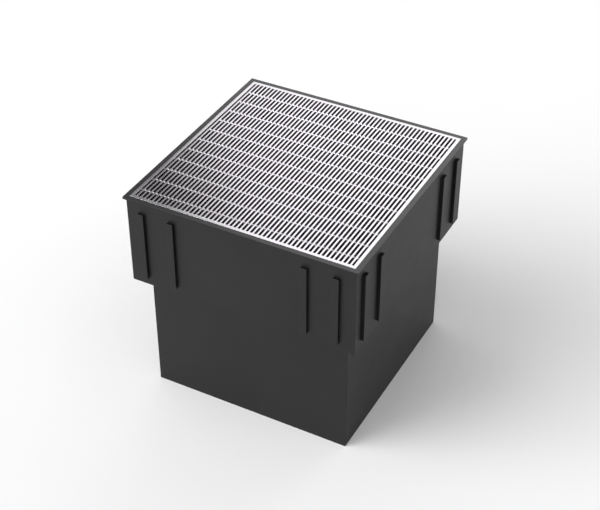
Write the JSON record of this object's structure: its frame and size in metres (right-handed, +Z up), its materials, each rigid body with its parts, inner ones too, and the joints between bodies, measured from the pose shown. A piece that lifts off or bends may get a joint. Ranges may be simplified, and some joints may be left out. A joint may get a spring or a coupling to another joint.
{
  "type": "drain grate",
  "caption": "Square yard drain: black polymer pit with a rim flange, side rails and a narrower sump, under a flush heel-safe wedge-wire grate.",
  "frame": {"origin": "centre of the pit's base, on its underside", "axes": "+Z up through the grate; +X to the right along the front side, across the wires; +Y to the back, along the wires"},
  "size_m": [0.3214, 0.3214, 0.3036],
  "materials": {
    "black_polymer": "fine satin moulded black",
    "stainless_steel": "bright pickled stainless, smooth drawn wire"
  },
  "bodies": {
    "root": {"pit_body": "black_polymer", "frame_bar_front": "stainless_steel", "frame_bar_right": "stainless_steel", "frame_bar_back": "stainless_steel", "frame_bar_left": "stainless_steel", "wedge_wire_01": "stainless_steel", "wedge_wire_02": "stainless_steel", "wedge_wire_03": "stainless_steel", "wedge_wire_04": "stainless_steel", "wedge_wire_05": "stainless_steel", "wedge_wire_06": "stainless_steel", "wedge_wire_07": "stainless_steel", "wedge_wire_08": "stainless_steel", "wedge_wire_09": "stainless_steel", "wedge_wire_10": "stainless_steel", "wedge_wire_11": "stainless_steel", "wedge_wire_12": "stainless_steel", "wedge_wire_13": "stainless_steel", "wedge_wire_14": "stainless_steel", "wedge_wire_15": "stainless_steel", "wedge_wire_16": "stainless_steel", "wedge_wire_17": "stainless_steel", "wedge_wire_18": "stainless_steel", "wedge_wire_19": "stainless_steel", "wedge_wire_20": "stainless_steel", "wedge_wire_21": "stainless_steel", "wedge_wire_22": "stainless_steel", "wedge_wire_23": "stainless_steel", "wedge_wire_24": "stainless_steel", "wedge_wire_25": "stainless_steel", "wedge_wire_26": "stainless_steel", "wedge_wire_27": "stainless_steel", "wedge_wire_28": "stainless_steel", "wedge_wire_29": "stainless_steel", "wedge_wire_30": "stainless_steel", "wedge_wire_31": "stainless_steel", "wedge_wire_32": "stainless_steel", "wedge_wire_33": "stainless_steel", "wedge_wire_34": "stainless_steel", "wedge_wire_35": "stainless_steel", "wedge_wire_36": "stainless_steel", "wedge_wire_37": "stainless_steel", "wedge_wire_38": "stainless_steel", "wedge_wire_39": "stainless_steel", "wedge_wire_40": "stainless_steel", "wedge_wire_41": "stainless_steel", "wedge_wire_42": "stainless_steel", "wedge_wire_43": "stainless_steel", "wedge_wire_44": "stainless_steel", "wedge_wire_45": "stainless_steel", "wedge_wire_46": "stainless_steel", "wedge_wire_47": "stainless_steel", "wedge_wire_48": "stainless_steel", "wedge_wire_49": "stainless_steel", "wedge_wire_50": "stainless_steel", "wedge_wire_51": "stainless_steel", "wedge_wire_52": "stainless_steel", "wedge_wire_53": "stainless_steel", "support_bars": "stainless_steel"}
  },
  "joints": []
}
